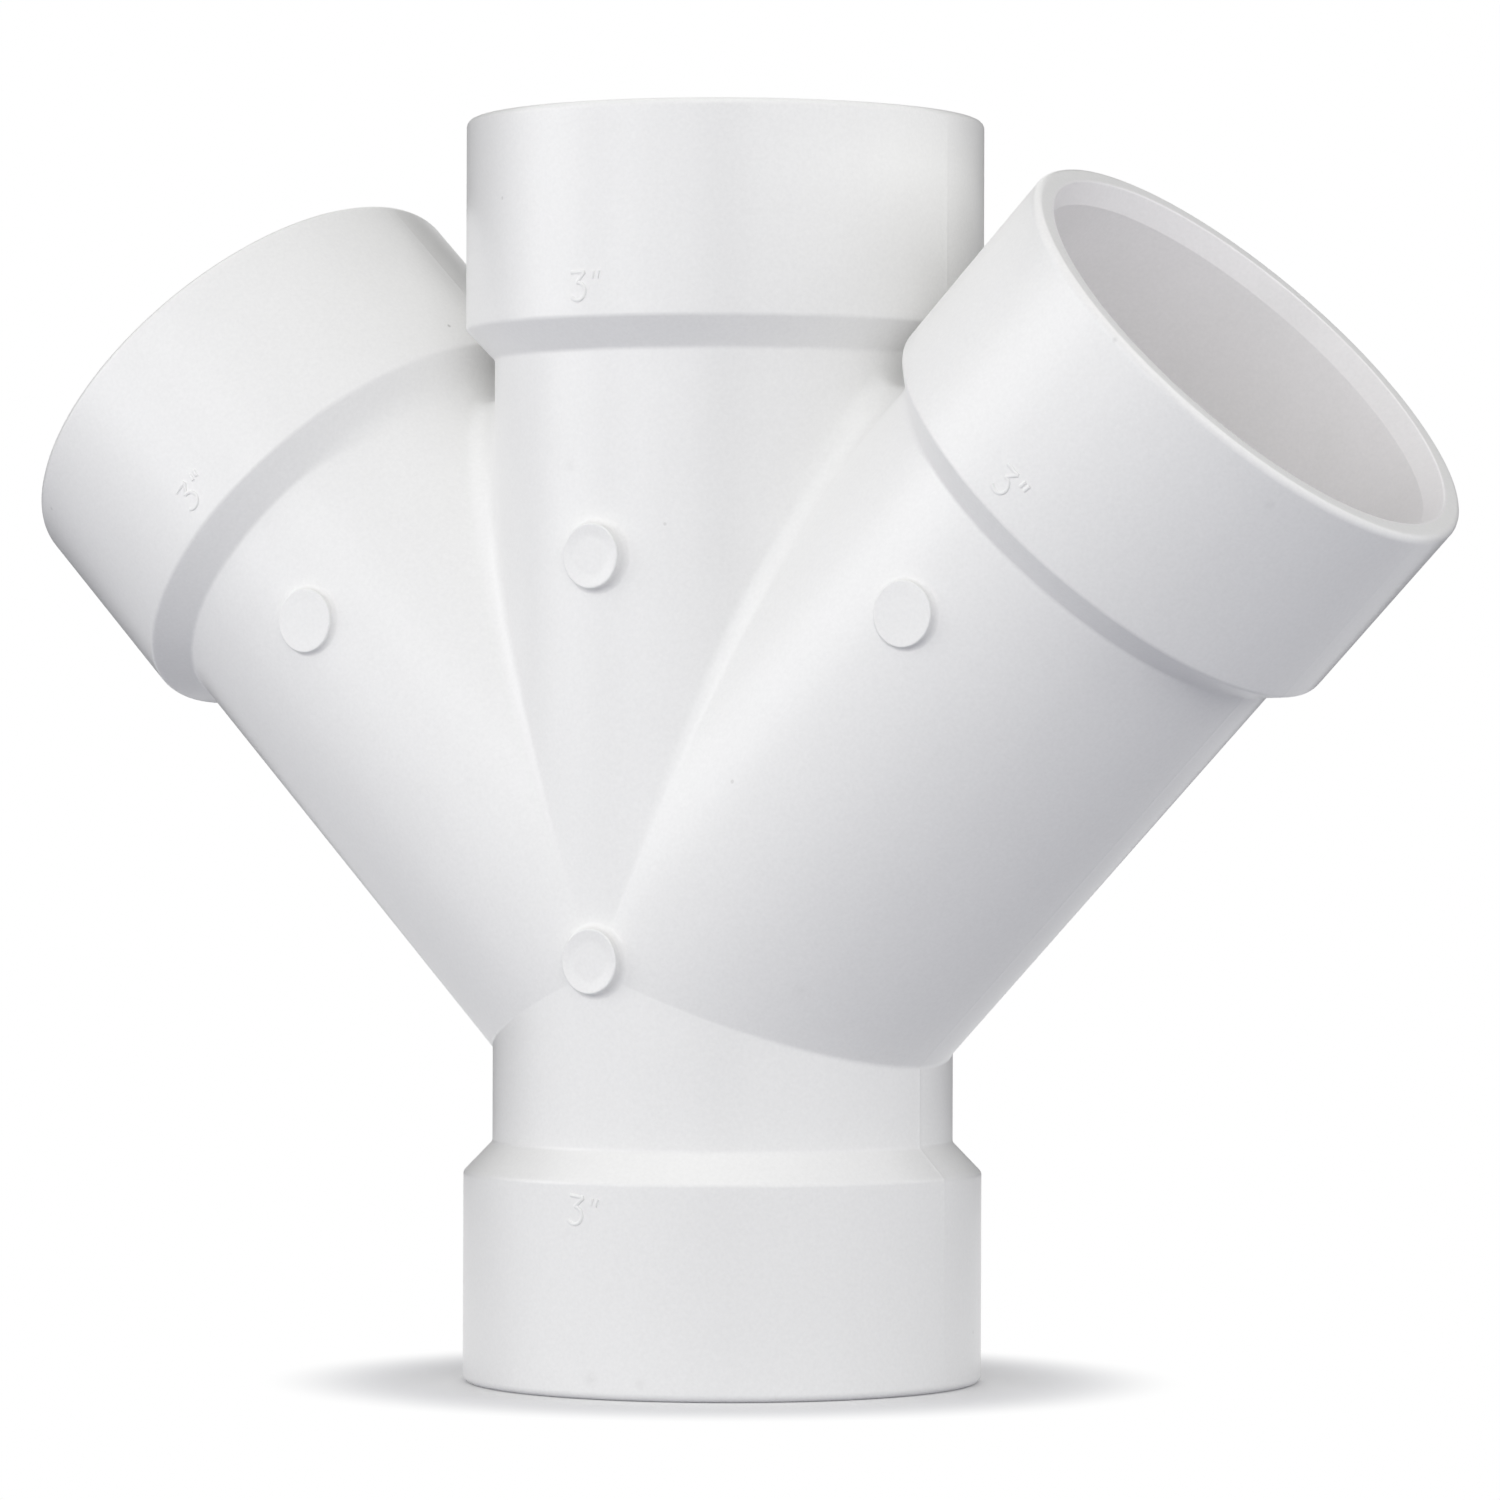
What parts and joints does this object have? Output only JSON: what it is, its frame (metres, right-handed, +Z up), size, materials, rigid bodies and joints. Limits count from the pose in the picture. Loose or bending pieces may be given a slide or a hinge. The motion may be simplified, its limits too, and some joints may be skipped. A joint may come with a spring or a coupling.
{
  "type": "double wye pipe fitting",
  "caption": "Moulded white drain fitting: an upright straight run with a branch at 45 degrees on each side and a socket at every end.",
  "frame": {"origin": "centre of the bottom rim, on the axis of the straight run", "axes": "+Z up the straight run, +X towards the right branch, and the four round moulding pads face -Y"},
  "size_m": [0.3014, 0.1004, 0.244],
  "materials": {
    "white_pvc": "smooth satin white PVC straight from the mould"
  },
  "bodies": {
    "root": {"double_wye_fitting": "white_pvc"}
  },
  "joints": []
}
